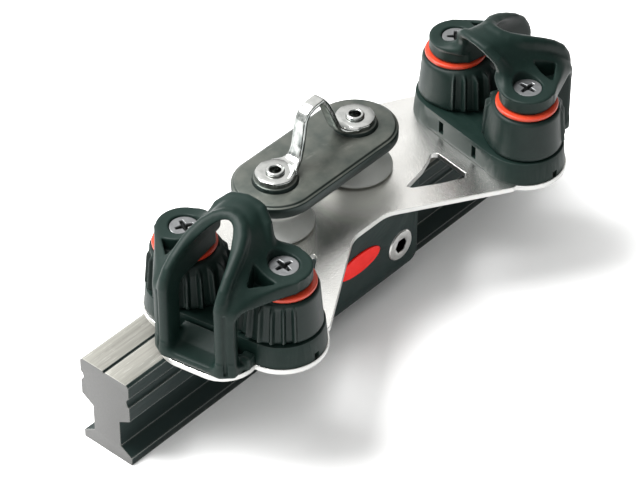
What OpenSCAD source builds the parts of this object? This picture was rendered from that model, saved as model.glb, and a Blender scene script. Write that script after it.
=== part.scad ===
// Traveller car with two cam cleats, twin control sheaves and an eye strap,
// riding on a short length of I-beam rail. X runs along the rail, Z is up,
// and the origin is the middle of the rail's underside.

/* [Rail] */
// Length of the rail
rail_len = 210; // [200:5:400]
// Width across the rail's head and foot
rail_w = 22; // [22:0.5:24]
// Height of the rail
rail_h = 35.8; // [35.2:0.1:36]
// Spacing of the two fixing holes
rail_pitch = 100; // [90:5:150]
// Clearance bore for an M6 fixing screw
rail_bore_d = 6.5; // [6:0.1:7]

/* [Car] */
// Length of the car along the rail
car_len = 63; // [60:1:70]
// Width over the car's two side faces
car_w = 40; // [40:0.5:44]
// Height of the car's lower edge above the rail's underside
car_low = 10; // [9:0.5:14]
// Height of the face that carries the plate
car_top = 44.7; // [44.2:0.1:44.9]
// Diameter of the recirculating balls
ball_d = 4; // [3.8:0.05:4.1]

/* [Plate] */
// Thickness of the stainless plate
plate_t = 2; // [1.9:0.1:2.5]
// Half length of the straight edge at the plate's waist
waist_half = 8.8; // [6:0.2:12]
// Distance of that edge from the rail's centreline
waist_y = 24.8; // [23:0.1:27]
// Distance of the far edge from the rail's centreline
plate_far = 22; // [20:0.5:23]

/* [Cleats] */
// Cleat centre from the middle of the car, along the rail
cleat_x = 66; // [65:0.1:68]
// Cleat centre from the rail's centreline, toward the near side
cleat_y = 23.2; // [22.6:0.1:24.4]
// Turn of each cleat away from square
cleat_turn = 10.3; // [9:0.1:12]
// Spacing of a cleat's two screws
screw_pitch = 38; // [38:0.1:38.5]
// Height of the cleat's moulded base
base_h = 8.5; // [8:0.1:9]
// Radius of a cam's smooth back at the foot
cam_r = 13; // [12.6:0.1:13.2]
// Height of a cam
cam_h = 16; // [15.5:0.1:16.5]
// Extra radius of a cam's gripping side
cam_lift = 4.2; // [3:0.1:4.4]
// Number of ribs on a cam's gripping side
cam_ribs = 10; // [6:1:12]

/* [Fairleads] */
// Height of a fairlead's boss top above the plate
boss_top = 32.2; // [32:0.1:33]
// Radius of a boss
boss_r = 9.8; // [9:0.1:10.2]
// Half width of the rope opening
mouth_half = 8.5; // [8:0.1:9]
// Height of the hood's crown above the plate
crown_h = 48; // [46:0.5:49]

/* [Sheaves and strap] */
// Half spacing of the two rivets
rivet_x = 20.5; // [20:0.1:21]
// Radius of a sheave's flanges
sheave_r = 13.5; // [12.5:0.1:13.6]
// Height of the gap between plate and cheek
sheave_gap = 14; // [13:0.5:15]
// Thickness of the cheek plate
cheek_t = 5; // [4:0.5:6]
// Radius of the cheek plate's round ends
cheek_r = 15.2; // [14:0.1:16]
// Height of the strap's apex above its feet
strap_rise = 19; // [17:0.5:22]
// Width of the strap's raised loop
strap_w = 4.6; // [4:0.2:7]
// Thickness of the strap
strap_t = 2; // [1.8:0.1:2.4]

/* [Hidden] */
$fn = 48;
eps = 0.01;

// Sides: left is -X, right is +X, near is -Y, far is +Y.
left = -1;
right = 1;
near = -1;
far = 1;

plate_top = car_top + plate_t;
waist_r = 12;                       // roundness of the plate's inward corners
waist_bend = 31.6;                  // how far its edge turns there
screw_half = screw_pitch / 2;

// Rail section
web_half = 6;
head_low = 20;
foot_edge = 3;
race_z = 28;                        // height of the loaded ball race
race_y = rail_w / 2 + 1.2;          // centre of the balls in that race
race_r = ball_d / 2 + 0.35;         // radius of the groove the balls run in

// Car section
chan_half = rail_w / 2 + 0.7;       // half width of the channel over the rail
chan_top = rail_h + 1;
block_half = car_w / 2 - 3;         // half width of an end block
block_len = 15;
block_low = car_low + 3;
block_top = chan_top + 4.5;
return_y = 14.4;                    // the balls' way back, in the car's shoulder
return_z = chan_top + 0.6;
turn_r = norm([return_y - race_y, return_z - race_z]) / 2;
side_screw_x = 22.3;
side_screw_z = 20.8;
side_head_r = 6;
side_head_t = 2.6;
badge_a = 11;
badge_b = 4.3;
badge_z = 26.5;
badge_sink = 0.25;                  // depth it is let into the car

// Cleat heights above the plate
well_r = 10.8;                      // spring well in the base
well_floor = 2.5;
cam_low = base_h + 0.3;
cam_top = cam_low + cam_h;
ring_t = 1.6;
ring_out = 10.9;
ring_in = 8.4;
boss_low = cam_top + ring_t + 0.2;
post_r = 4.6;                       // the post each cam turns on
shank_r = 2.5;
hole_r = 2.6;
cam_bore_r = 7.95;
cam_ball_r = 1.5;
cam_ball_orbit = post_r + cam_ball_r;
head_r = 5;
head_top = boss_top - 0.5;
nut_t = 4;
base_end_r = 15.1;                  // the base's round ends at the foot
base_end_v = 18;                    // where their centres are
plate_rim = 0.5;                    // plate showing outside a cleat's foot
drain_w = 2.2;                      // width of a drain slot in the base's wall
leg_u = 18.7;                       // inner side of the fairlead's legs
lip_u = 27.2;                       // outer side of the lip at the foot
lip_r = 11.5;                       // roundness of the foot's corners under the rope opening
lip_v = 5.4;                        // where their centres are

// Strap, cheek and rivets
cheek_low = plate_top + sheave_gap;
cheek_top = cheek_low + cheek_t;
pad_t = 1.5;
pad_r = 8;
foot_z = cheek_top + pad_t;
strap_top = foot_z + strap_t;
bush_r = 5;
rivet_r = 2.6;
rivet_bore_r = 1.9;
flare_r = 3.2;

// ---- helpers ---------------------------------------------------------------

// Places a shape that was drawn for one side of the car's length.
module on_side(side) mirror([side < 0 ? 1 : 0, 0, 0]) children();

// Places a shape drawn in a cleat's own frame: X outboard, Y far, Z = 0 on the plate.
module at_cleat(side)
    on_side(side) translate([cleat_x, -cleat_y, plate_top]) rotate(-cleat_turn) children();

module at_cam(side, bank) at_cleat(side) translate([0, bank * screw_half, 0]) children();

module both_cams() for (bank = [near, far]) translate([0, bank * screw_half, 0]) children();

// A flat shape drawn across the rail and run along it, centred.
module along_rail(length)
    rotate([90, 0, 90]) translate([0, 0, -length / 2]) linear_extrude(length) children();

// An outline with round ends whose centres are `half` either side of the middle.
module stadium(half, r) {
    for (s = [-1, 1]) translate([s * half, 0]) circle(r, $fn = 96);
    square([2 * half, 2 * r], center = true);
}

// Points on a circular arc, for outlines.
function arc(cx, cy, r, a0, a1, n) =
    [for (i = [0 : n]) let (a = a0 + (a1 - a0) * i / n) [cx + r * cos(a), cy + r * sin(a)]];

// Smooth step from 0 to 1 between a and b.
function ease(x, a, b) = let (t = min(1, max(0, (x - a) / (b - a)))) t * t * (3 - 2 * t);

// ---- rail ------------------------------------------------------------------

module rail_section() difference() {
    union() {
        translate([-rail_w / 2, 0]) square([rail_w, foot_edge]);
        polygon([[-rail_w / 2, foot_edge - eps], [rail_w / 2, foot_edge - eps],
            [web_half, foot_edge + 3], [-web_half, foot_edge + 3]]);
        translate([-web_half, 0]) square([2 * web_half, rail_h - 1]);
        polygon([[-web_half, head_low - 3], [web_half, head_low - 3],
            [rail_w / 2, head_low], [-rail_w / 2, head_low]]);
        translate([-rail_w / 2, head_low - eps]) square([rail_w, rail_h - 1 - head_low + 2 * eps]);
        polygon([[-rail_w / 2, rail_h - 1], [rail_w / 2, rail_h - 1],
            [rail_w / 2 - 1, rail_h], [-rail_w / 2 + 1, rail_h]]);
    }
    for (s = [-1, 1]) translate([s * race_y, race_z]) circle(race_r);
    polygon([[-0.7, rail_h + eps], [0.7, rail_h + eps], [0, rail_h - 1]]);
}

module track_rail() color("#8d9088") difference() {
    along_rail(rail_len) rail_section();
    for (s = [-1, 1]) translate([s * rail_pitch / 2, 0, -1]) {
        cylinder(d = rail_bore_d, h = rail_h + 2);
        translate([0, 0, rail_h - 6]) cylinder(d = 11, h = 10);
    }
}

// ---- car -------------------------------------------------------------------

module car_side_outline() {
    r = 4;
    half = car_len / 2;
    polygon(concat([[-half, car_top], [half, car_top]],
        arc(half - r, car_low + r, r, 0, -90, 8),
        arc(-half + r, car_low + r, r, -90, -180, 8)));
}

module end_block_space(side, slack) on_side(side) difference() {
    translate([car_len / 2 - block_len - slack, -block_half - slack, block_low - slack])
        cube([block_len + slack + 1, 2 * (block_half + slack), block_top - block_low + 2 * slack]);
    translate([0, -chan_half, 0]) cube([car_len, 2 * chan_half, chan_top]);
}

module ball_ways() for (s = [-1, 1]) {
    translate([0, s * race_y, race_z]) rotate([0, 90, 0])
        cylinder(r = ball_d / 2 + 0.1, h = car_len - 2 * block_len, center = true);
    translate([0, s * return_y, return_z]) rotate([0, 90, 0])
        cylinder(r = ball_d / 2 + 0.1, h = car_len - 2 * block_len + 2, center = true);
}

module car_body() color("#1f2f2f") difference() {
    rotate([90, 0, 0]) linear_extrude(car_w, center = true) car_side_outline();
    translate([-car_len, -chan_half, 0]) cube([2 * car_len, 2 * chan_half, chan_top]);
    for (s = [left, right]) end_block_space(s, 0.1);
    ball_ways();
    for (s = [-1, 1], bank = [near, far]) {
        translate([s * side_screw_x, bank * car_w / 2, side_screw_z]) rotate([90, 0, 0]) {
            cylinder(r = side_head_r + 0.15, h = 2 * 2.2, center = true);
            cylinder(r = 3.1, h = 20, center = true);
        }
    }
    for (bank = [near, far]) translate([0, bank * car_w / 2, badge_z]) rotate([90, 0, 0])
        linear_extrude(2 * badge_sink, center = true) badge_outline(0.08);
    rivet_ways();
}

// Bores for the rivets, each with a pocket for its flared end.
module rivet_ways() for (s = [-1, 1]) translate([s * rivet_x, 0, chan_top - 1]) {
    cylinder(r = rivet_r + 0.05, h = 20);
    cylinder(r = flare_r + 0.6, h = 3.2);
}

// Turns the balls back at the end of the car, and fills the body's end.
module end_block(side) color("#20242a") difference() {
    end_block_space(side, 0);
    rivet_ways();
    translate([side * car_len / 2, 0, 0]) translate([side > 0 ? 0 : -5, -30, 0]) cube([5, 60, 60]);
    for (s = [-1, 1]) {
        translate([side * (car_len / 2 - block_len), s * (race_y + return_y) / 2, (race_z + return_z) / 2])
            rotate([s * atan2(race_y - return_y, return_z - race_z), 0, 0]) rotate([90, 0, 0])
            rotate_extrude() translate([turn_r, 0]) circle(ball_d / 2 + 0.1, $fn = 32);
        translate([side * side_screw_x, s * block_half, side_screw_z]) rotate([90, 0, 0])
            cylinder(r = 2.55, h = 9, center = true);
    }
}

// The balls of one bank: a loaded row, a returning row and the two turns.
module car_balls(bank) color("#d8d8d4") {
    run = car_len - 2 * block_len;
    count = 8;
    mid = [0, (race_y + return_y) / 2, (race_z + return_z) / 2];
    down = ([0, race_y, race_z] - mid) / turn_r;
    for (i = [0 : count - 1]) {
        x = -run / 2 + run * (i + 0.5) / count;
        translate([x, bank * race_y, race_z]) sphere(d = ball_d - 0.1, $fn = 32);
        translate([x, bank * return_y, return_z]) sphere(d = ball_d - 0.1, $fn = 32);
    }
    for (s = [left, right], a = [27, 80, 130]) {
        at = mid + turn_r * cos(a) * down;
        translate([s * (run / 2 + turn_r * sin(a)), bank * at[1], at[2]])
            sphere(d = ball_d - 0.1, $fn = 32);
    }
}

module side_screws(bank) color("#b9bab5") for (s = [left, right])
    translate([s * side_screw_x, bank * car_w / 2, side_screw_z]) rotate([-bank * 90, 0, 0])
        difference() {
            union() {
                translate([0, 0, -2.2]) cylinder(r = side_head_r, h = side_head_t - 0.4);
                translate([0, 0, side_head_t - 2.6 - eps]) cylinder(r1 = side_head_r, r2 = side_head_r - 0.4, h = 0.4);
                translate([0, 0, -7]) cylinder(r = 2.5, h = 5);
            }
            translate([0, 0, -1.8]) cylinder(r = 3.1, h = 4, $fn = 6);
        }

module badge_outline(m)
    polygon([for (a = [0 : 6 : 354]) [(badge_a + m) * cos(a), (badge_b + m) * sin(a)]]);

// An oval label, let into the car's side.
module badge(bank) color("#d5301e")
    translate([0, bank * (car_w / 2 - badge_sink + eps), badge_z]) rotate([-bank * 90, 0, 0])
        linear_extrude(badge_sink + 0.7) badge_outline(0);

// ---- plate -----------------------------------------------------------------

// Outline of one cleat's foot with `m` of margin round it, in the cleat's frame.
module cleat_foot_outline(m) {
    for (s = [-1, 1]) translate([0, s * base_end_v]) circle(base_end_r + m, $fn = 96);
    translate([-base_end_r - m, -base_end_v]) square([2 * (base_end_r + m), 2 * base_end_v]);
    for (s = [-1, 1]) translate([lip_u - lip_r, s * lip_v]) circle(lip_r + m, $fn = 96);
    translate([0, -15 - m]) square([18, 30 + 2 * m]);
    translate([lip_u - lip_r, -lip_v]) square([lip_r + m, 2 * lip_v]);
}

module arm_window() polygon(concat(
    [[44.4, -16], [45.4, -17.2], [43.3, -31.4], [41.2, -32.7], [33, -28.2], [24.9, -22.6], [24.2, -20.8]],
    [[29.5, -19.9], [34.5, -19.1], [40.4, -17.1], [43.4, -15.6]]));

module mounting_plate() color("#dcdad4") difference() {
    translate([0, 0, car_top]) linear_extrude(plate_t) difference() {
        union() {
            polygon(concat(
                arc(-waist_half + waist_r * tan(waist_bend / 2), -waist_y - waist_r, waist_r,
                    90 + waist_bend, 90, 5),
                arc(waist_half - waist_r * tan(waist_bend / 2), -waist_y - waist_r, waist_r,
                    90, 90 - waist_bend, 5),
                [[48, -48.9], [64.5, -50], [66, 10.4], [44.5, plate_far], [-44.5, plate_far],
                [-66, 10.4], [-64.5, -50], [-48, -48.9]]));
            for (s = [left, right]) on_side(s) translate([cleat_x, -cleat_y]) rotate(-cleat_turn)
                cleat_foot_outline(plate_rim);
        }
        for (s = [left, right]) on_side(s) arm_window();
    }
    for (s = [-1, 1]) translate([s * rivet_x, 0, car_top - 1]) cylinder(r = rivet_r + 0.05, h = 10);
    for (s = [left, right], bank = [near, far]) at_cam(s, bank) translate([0, 0, -10])
        cylinder(r = hole_r, h = 20);
}

// ---- sheaves, cheek, strap and rivets --------------------------------------

module sheave(side) color("#cfd0cb") translate([side * rivet_x, 0, plate_top + 0.5])
    rotate_extrude($fn = 96) {
        h = sheave_gap - 1;
        polygon([[bush_r + 0.08, 0], [sheave_r - 0.6, 0], [sheave_r, 0.7], [sheave_r - 0.3, 1.4],
            [8, h / 2 - 1.6], [7.4, h / 2], [8, h / 2 + 1.6],
            [sheave_r - 0.3, h - 1.4], [sheave_r, h - 0.7], [sheave_r - 0.6, h], [bush_r + 0.08, h]]);
    }

module sheave_bush(side) color("#b48a4a") translate([side * rivet_x, 0, plate_top]) difference() {
    cylinder(r = bush_r, h = sheave_gap);
    translate([0, 0, -1]) cylinder(r = rivet_r + 0.05, h = sheave_gap + 2);
}

module cheek_plate() color("#5e625b") difference() {
    union() {
        translate([0, 0, cheek_low]) linear_extrude(cheek_t - 1) stadium(rivet_x, cheek_r);
        translate([0, 0, cheek_top - 1 - eps]) linear_extrude(1 + eps) stadium(rivet_x, cheek_r - 0.9);
        for (s = [-1, 1]) translate([s * rivet_x, 0, cheek_top - eps])
            cylinder(r = pad_r, h = pad_t + eps);
    }
    for (s = [-1, 1]) translate([s * rivet_x, 0, cheek_low - 1])
        cylinder(r = rivet_r + 0.05, h = cheek_t + 5);
}

// Outer face of the strap seen from the near side: [along the rail, share of the rise].
strap_path = [[-16, 0], [-12.8, 0], [-11, 0.06], [-9.6, 0.26], [-8.7, 0.52], [-7.9, 0.78], [-5.9, 0.91],
    [-2.7, 0.98], [2.4, 1], [4.7, 0.81], [6.9, 0.58], [10.2, 0.16], [11.6, 0.05], [13.6, 0], [16, 0]];

// The same face as points, and those points moved inward by the strap's thickness.
function strap_out(i) = [strap_path[i][0], foot_z + strap_t + strap_rise * strap_path[i][1]];
function strap_in(i) = let (
        last = len(strap_path) - 1,
        d = strap_out(min(i + 1, last)) - strap_out(max(i - 1, 0)))
    strap_out(i) + strap_t / norm(d) * [d[1], -d[0]];

module strap_loop() rotate([90, 0, 0]) linear_extrude(strap_w, center = true) polygon(concat(
    [for (i = [0 : len(strap_path) - 1]) strap_out(i)],
    [for (i = [len(strap_path) - 1 : -1 : 0]) strap_in(i)]));

module eye_strap() color("#d9d9d6") difference() {
    union() {
        strap_loop();
        for (s = [-1, 1]) {
            translate([s * rivet_x, 0, foot_z]) cylinder(r = 7, h = strap_t);
            translate([0, 0, foot_z]) linear_extrude(strap_t) polygon([[s * rivet_x, -6.9],
                [s * rivet_x, 6.9], [s * 12.5, strap_w / 2], [s * 12.5, -strap_w / 2]]);
        }
    }
    for (s = [-1, 1]) translate([s * rivet_x, 0, foot_z - 1]) cylinder(r = rivet_r + 0.05, h = 6);
}

// A tube with a rolled head on the strap and a flare inside the car.
module rivet(side) color("#c9c9c5") translate([side * rivet_x, 0, 0]) difference() {
    union() {
        translate([0, 0, chan_top + 0.4]) cylinder(r = flare_r, h = 1.6);
        translate([0, 0, chan_top + 0.4]) cylinder(r = rivet_r, h = strap_top + 1.1 - chan_top - 0.4);
        translate([0, 0, strap_top]) cylinder(r1 = flare_r, r2 = flare_r - 0.5, h = 1.1);
    }
    translate([0, 0, chan_top - 1]) cylinder(r = rivet_bore_r, h = 60);
}

// ---- cleats ----------------------------------------------------------------

module cleat_base(side) color("#33403d") at_cleat(side) difference() {
    union() {
        for (s = [-1, 1]) translate([0, s * base_end_v, 0])
            cylinder(r1 = base_end_r, r2 = base_end_r - 0.7, h = base_h, $fn = 96);
        translate([-base_end_r + 0.5, -base_end_v, 0])
            cube([2 * base_end_r - 1, 2 * base_end_v, base_h]);
    }
    both_cams() {
        translate([0, 0, well_floor]) cylinder(r = well_r, h = base_h);
        translate([0, 0, -1]) cylinder(r = hole_r, h = base_h);
    }
    for (s = [-1, 1]) {
        translate([-base_end_r - 1, s * 8.8 - drain_w / 2, 1.6]) cube([3.4, drain_w, 5]);
        translate([1.2, s * (base_end_v + base_end_r) - 1.8, -1]) cube([drain_w, 3.6, 3.4]);
    }
}

module cam_posts(side) color("#9a9c98") at_cleat(side) both_cams() difference() {
    translate([0, 0, well_floor]) cylinder(r = post_r, h = boss_low - well_floor);
    translate([0, 0, -1]) cylinder(r = hole_r, h = 40);
}

// Radius of the near cam's outline: round at the back, fuller where it grips.
// The angle is measured from outboard, and the rope is at 90 degrees.
function cam_radius(a) = let (
        grip = ease(a, -60, 60) * (1 - ease(a, 85, 165)),
        step = 186 / cam_ribs,
        phase = (a + 45) / step,
        on = a > -45 && a < 141 ? 1 : 0,
        rib = on * 0.7 * pow(abs(sin(180 * phase)), 0.6))
    cam_r + cam_lift * grip - 0.7 * on + rib;

module cam_outline() polygon([for (a = [-180 : 3 : 177]) let (r = cam_radius(a)) [r * cos(a), r * sin(a)]]);

module cam(side, bank) color("#2b3432") at_cam(side, bank) mirror([0, bank > 0 ? 1 : 0, 0])
    difference() {
        translate([0, 0, cam_low]) linear_extrude(cam_h, scale = 0.9) cam_outline();
        translate([0, 0, cam_low - 1]) cylinder(r = cam_bore_r, h = cam_h + 2);
    }

module wear_ring(side, bank) color("#d8502c") at_cam(side, bank) difference() {
    translate([0, 0, cam_top]) cylinder(r = ring_out, h = ring_t, $fn = 96);
    translate([0, 0, cam_top - 1]) cylinder(r = ring_in, h = ring_t + 2);
}

// Two rings of balls between the cam and its post.
module cam_balls(side, bank) color("#d8d8d4") at_cam(side, bank)
    for (z = [cam_low + 3, cam_top - 3], i = [0 : 9]) rotate(36 * i)
        translate([cam_ball_orbit, 0, z]) sphere(r = cam_ball_r - 0.03, $fn = 24);

// A coiled torsion spring in the base's well, drawn as its stack of turns.
module cam_spring(side, bank) color("#a8aaa6") at_cam(side, bank)
    for (i = [0 : 3]) translate([0, 0, well_floor + 0.8 + 1.35 * i])
        rotate_extrude($fn = 64) translate([8.6, 0]) circle(0.6, $fn = 24);

// ---- fairleads -------------------------------------------------------------

// Section of the hood across the rope: an arch of half width `half` and height `top`.
module arch_section(half, top) {
    spring = 33;
    polygon(concat([[-half, 20], [half, 20], [half, spring]],
        [for (i = [1 : 23]) let (a = 7.5 * i) [half * cos(a), spring + (top - spring) * sin(a)]],
        [[-half, spring]]));
}

// Side view of the hood: it leans back from the legs to the crown.
module hood_side() polygon([[-7, 30], [-6, 36], [-7, crown_h + 1], [2.5, crown_h + 1], [5.5, crown_h - 2.5],
    [13, 42], [19.5, 36.8], [24.3, boss_top], [26, 27.5], [leg_u, 27.5], [leg_u, 30]]);

module hood() intersection() {
    rotate([90, 0, 90]) translate([0, 0, -12]) linear_extrude(50) difference() {
        arch_section(mouth_half + 3, crown_h);
        arch_section(mouth_half, crown_h - 3.2);
    }
    rotate([90, 0, 0]) linear_extrude(60, center = true) hood_side();
}

module wing(s) translate([0, 0, boss_low + 0.6]) linear_extrude(boss_top - boss_low - 0.6) difference() {
    polygon([[-3, s * mouth_half], [24.6, s * mouth_half], [25.6, s * 11], [24.3, s * 15.3],
        [20, s * 17.4], [6, s * 27], [0, s * 22], [-6, s * 14]]);
    polygon([[10, s * 13.8], [17.5, s * 14.6], [11.4, s * 19.6]]);
}

module leg(s) linear_extrude(boss_top - 1)
    polygon([[leg_u, s * mouth_half], [25.8, s * mouth_half], [lip_u, s * 10], [26.4, s * 12.6],
        [24.3, s * 15.3], [20, s * 16.6], [leg_u, s * 16.2]]);

module floor_lip() {
    linear_extrude(2.4) intersection() {
        cleat_foot_outline(0);
        translate([base_end_r + 0.3, -16.5]) square([20, 33]);
    }
    rotate([90, 0, 0]) linear_extrude(2 * mouth_half + 1, center = true)
        polygon([[base_end_r + 0.3, 0], [lip_u - 0.6, 0], [lip_u - 1, 2.6], [leg_u, 5.4],
            [base_end_r + 0.3, base_h - 1.2]]);
}

module fairlead(side) color("#2f3b38") at_cleat(side) difference() {
    union() {
        both_cams() translate([0, 0, boss_low]) cylinder(r = boss_r, h = boss_top - boss_low, $fn = 96);
        hood();
        floor_lip();
        for (s = [-1, 1]) {
            wing(s);
            leg(s);
        }
    }
    both_cams() {
        translate([0, 0, boss_low - 1]) cylinder(r = hole_r, h = 20);
        translate([0, 0, head_top - 3]) cylinder(r1 = hole_r, r2 = head_r + 0.1, h = 2.6);
        translate([0, 0, head_top - 0.4 - eps]) cylinder(r = head_r + 0.1, h = 10);
    }
}

module cleat_screws(side) color("#b4b5b1") at_cleat(side) both_cams() difference() {
    union() {
        translate([0, 0, -plate_t - nut_t - 0.5]) cylinder(r = shank_r, h = head_top + plate_t + nut_t - 1);
        translate([0, 0, head_top - 2.9]) cylinder(r1 = shank_r, r2 = head_r, h = 2.9 - 0.4);
        translate([0, 0, head_top - 0.4]) cylinder(r = head_r, h = 0.4);
    }
    for (a = [0, 90]) rotate(a + 20) translate([-2.8, -0.65, head_top - 2]) cube([5.6, 1.3, 3]);
}

module cleat_nuts(side) color("#b9bab5") at_cleat(side) both_cams() difference() {
    translate([0, 0, -plate_t - nut_t]) cylinder(r = 4.6, h = nut_t, $fn = 6);
    translate([0, 0, -plate_t - nut_t - 1]) cylinder(r = shank_r + 0.05, h = nut_t + 2);
}

// ---- assembly --------------------------------------------------------------

track_rail();
car_body();
end_block(left);  // end_block_left
end_block(right);  // end_block_right
car_balls(near);  // car_balls_near
car_balls(far);  // car_balls_far
side_screws(near);  // side_screws_near
side_screws(far);  // side_screws_far
badge(near);  // badge_near
badge(far);  // badge_far
mounting_plate();
sheave(left);  // sheave_left
sheave(right);  // sheave_right
sheave_bush(left);  // sheave_bush_left
sheave_bush(right);  // sheave_bush_right
cheek_plate();
eye_strap();
rivet(left);  // rivet_left
rivet(right);  // rivet_right
cleat_base(left);  // cleat_base_left
cleat_base(right);  // cleat_base_right
cam_posts(left);  // cam_posts_left
cam_posts(right);  // cam_posts_right
cam(left, near);  // cam_near_left
cam(left, far);  // cam_far_left
cam(right, near);  // cam_near_right
cam(right, far);  // cam_far_right
wear_ring(left, near);  // wear_ring_near_left
wear_ring(left, far);  // wear_ring_far_left
wear_ring(right, near);  // wear_ring_near_right
wear_ring(right, far);  // wear_ring_far_right
cam_balls(left, near);  // cam_balls_near_left
cam_balls(left, far);  // cam_balls_far_left
cam_balls(right, near);  // cam_balls_near_right
cam_balls(right, far);  // cam_balls_far_right
cam_spring(left, near);  // cam_spring_near_left
cam_spring(left, far);  // cam_spring_far_left
cam_spring(right, near);  // cam_spring_near_right
cam_spring(right, far);  // cam_spring_far_right
fairlead(left);  // fairlead_left
fairlead(right);  // fairlead_right
cleat_screws(left);  // cleat_screws_left
cleat_screws(right);  // cleat_screws_right
cleat_nuts(left);  // cleat_nuts_left
cleat_nuts(right);  // cleat_nuts_right
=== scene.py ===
"""Traveller car with two cam cleats on a length of I-beam rail.

X runs along the rail, -Y is the side with the badge, Z is up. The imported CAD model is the
frame, and every piece below lies where its CAD node lies.
"""
import math

import bmesh
import bpy
import numpy as np
from mathutils import Matrix, Vector


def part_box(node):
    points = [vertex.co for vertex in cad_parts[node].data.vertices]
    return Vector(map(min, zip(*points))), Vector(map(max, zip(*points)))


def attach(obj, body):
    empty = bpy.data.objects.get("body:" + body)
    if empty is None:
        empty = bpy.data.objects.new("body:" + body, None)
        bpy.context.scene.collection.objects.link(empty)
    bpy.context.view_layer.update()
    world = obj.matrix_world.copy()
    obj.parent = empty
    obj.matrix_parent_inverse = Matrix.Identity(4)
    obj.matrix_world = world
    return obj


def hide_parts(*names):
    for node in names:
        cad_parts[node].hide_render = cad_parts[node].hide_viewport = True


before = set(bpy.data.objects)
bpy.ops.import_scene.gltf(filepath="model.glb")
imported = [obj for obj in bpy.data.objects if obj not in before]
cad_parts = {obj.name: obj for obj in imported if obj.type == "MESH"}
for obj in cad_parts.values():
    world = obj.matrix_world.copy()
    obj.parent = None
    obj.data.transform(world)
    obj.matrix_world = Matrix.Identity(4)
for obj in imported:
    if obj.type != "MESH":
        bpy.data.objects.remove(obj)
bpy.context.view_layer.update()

# ---- the rail -------------------------------------------------------------------------
# An extruded aluminium I-beam, hard anodised dark, with its top painted a pale grey as a painted
# reflection of the light from above, and its ends sawn bare. A fine V marks the middle of the head.

MM = 0.001


class Wire:
    """A shader value. Python's operators on it add the Math nodes that they stand for."""

    def __init__(self, finish, socket):
        self.finish, self.socket = finish, socket

    def _math(self, operation, a, b, clamp=False):
        settings = {"operation": operation, "use_clamp": clamp}
        return self.finish.node("ShaderNodeMath", settings, {0: a, 1: b})

    def __add__(self, other):
        return self._math("ADD", self, other)

    __radd__ = __add__

    def __sub__(self, other):
        return self._math("SUBTRACT", self, other)

    def __rsub__(self, other):
        return self._math("SUBTRACT", other, self)

    def __mul__(self, other):
        return self._math("MULTIPLY", self, other)

    __rmul__ = __mul__

    def held(self):
        """The value kept between 0 and 1."""
        return self._math("ADD", self, 0.0, clamp=True)

    def above(self, low, high):
        """0 below `low`, 1 above `high`, and a straight ramp between."""
        return ((self - low) * (1 / (high - low))).held()


class Finish:
    """One material on object coordinates, ended by done()."""

    def __init__(self, name):
        self.material = bpy.data.materials.new(name)
        self.material.use_nodes = True
        self.tree = self.material.node_tree
        self.tree.nodes.clear()

    def node(self, kind, settings=None, sockets=None, out=0):
        """Adds a node: its settings first, then the value or link of each socket."""
        made = self.tree.nodes.new(kind)
        for key, value in (settings or {}).items():
            setattr(made, key, value)
        for key, value in (sockets or {}).items():
            if isinstance(value, Wire):
                self.tree.links.new(value.socket, made.inputs[key])
            else:
                made.inputs[key].default_value = value
        return Wire(self, made.outputs[out]) if made.outputs else None

    def place(self):
        return self.node("ShaderNodeTexCoord", out="Object")

    def along(self, axis):
        """The place along X, Y or Z in metres."""
        return self.node("ShaderNodeSeparateXYZ", sockets={0: self.place()}, out=axis)

    def facing(self, axis):
        """How far the surface faces along X, Y or Z, from -1 to 1."""
        normal = self.node("ShaderNodeTexCoord", out="Normal")
        return self.node("ShaderNodeSeparateXYZ", sockets={0: normal}, out=axis)

    def grain(self, size, detail=3.0, roughness=0.55, stretch=(1, 1, 1)):
        """Cloudy noise about 0.5 with lumps `size` mm across, drawn out by `stretch`."""
        drawn = self.node("ShaderNodeMapping", sockets={
            "Vector": self.place(), "Scale": [1 / s for s in stretch]})
        return self.node("ShaderNodeTexNoise", sockets={
            "Vector": drawn, "Scale": 1 / (size * MM), "Detail": detail, "Roughness": roughness})

    def rim(self, width, gain=6.0):
        """0 on flats, towards 1 where the surface turns within `width` mm: the edges."""
        rounded = self.node("ShaderNodeBevel", {"samples": 6}, {"Radius": width * MM})
        actual = self.node("ShaderNodeNewGeometry", out="Normal")
        same = self.node("ShaderNodeVectorMath", {"operation": "DOT_PRODUCT"},
                         {0: rounded, 1: actual}, out="Value")
        return ((1 - same) * gain).held()

    def tint(self, mask, a, b):
        """Colour `a` where the mask is 0 and `b` where it is 1."""
        full = [c if isinstance(c, Wire) else (*c, 1.0) for c in (a, b)]
        sockets = {0: mask, 6: full[0], 7: full[1]}
        return self.node("ShaderNodeMix", {"data_type": "RGBA"}, sockets, out=2)

    def done(self, colour, rough, metal=0.0, height=None, depth=0.05, plain=None):
        """Feeds one Principled shader. `height` is a bump `depth` mm deep, and `plain` holds
        values that are the same all over."""
        sockets = {"Roughness": rough, "Metallic": metal,
                   "Base Color": colour if isinstance(colour, Wire) else (*colour, 1.0)}
        if height is not None:
            sockets["Normal"] = self.node("ShaderNodeBump", sockets={
                "Height": height, "Distance": depth * MM})
        sockets.update(plain or {})
        shader = self.node("ShaderNodeBsdfPrincipled", sockets=sockets)
        self.node("ShaderNodeOutputMaterial", sockets={"Surface": shader})
        return self.material


WELD_GAP, SAME_PLANE = 0.004, 0.6    # mm between doubles, degrees within one flat face


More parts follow.
